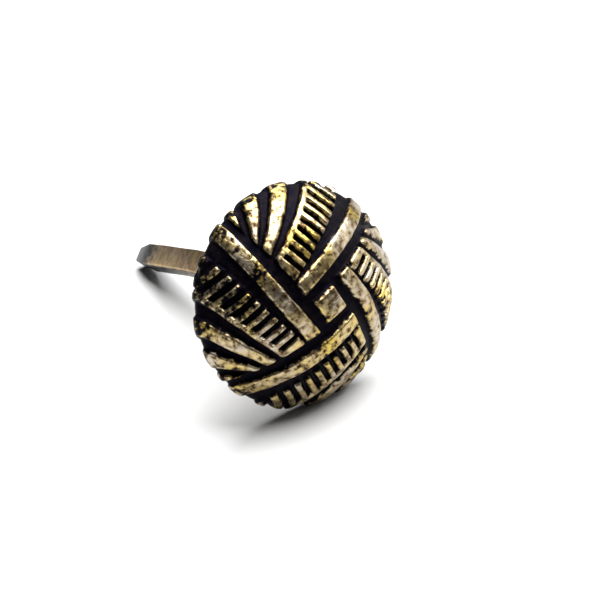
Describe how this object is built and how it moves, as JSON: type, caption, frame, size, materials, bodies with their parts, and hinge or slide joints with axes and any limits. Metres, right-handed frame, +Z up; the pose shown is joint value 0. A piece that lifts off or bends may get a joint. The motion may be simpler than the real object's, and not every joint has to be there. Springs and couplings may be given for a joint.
{
  "type": "upholstery tack",
  "caption": "Decorative upholstery tack: a tall hollow dome struck with a woven basket relief, crimped onto a square-shanked nail with a blunt point, lying on its side.",
  "frame": {"origin": "on the floor, under the middle of the whole tack as it lies", "axes": "+Z up; the crown of the head points to -Y and up, and the tip lies on the floor at +Y"},
  "size_m": [0.011, 0.0194, 0.0106],
  "materials": {
    "antique_brass": "struck brass, darkened in the hollows and rubbed bright on the relief",
    "plated_nail": "brass-plated steel, satin, slightly worn at the point"
  },
  "bodies": {
    "root": {"cap": "antique_brass", "nail": "plated_nail"}
  },
  "joints": []
}
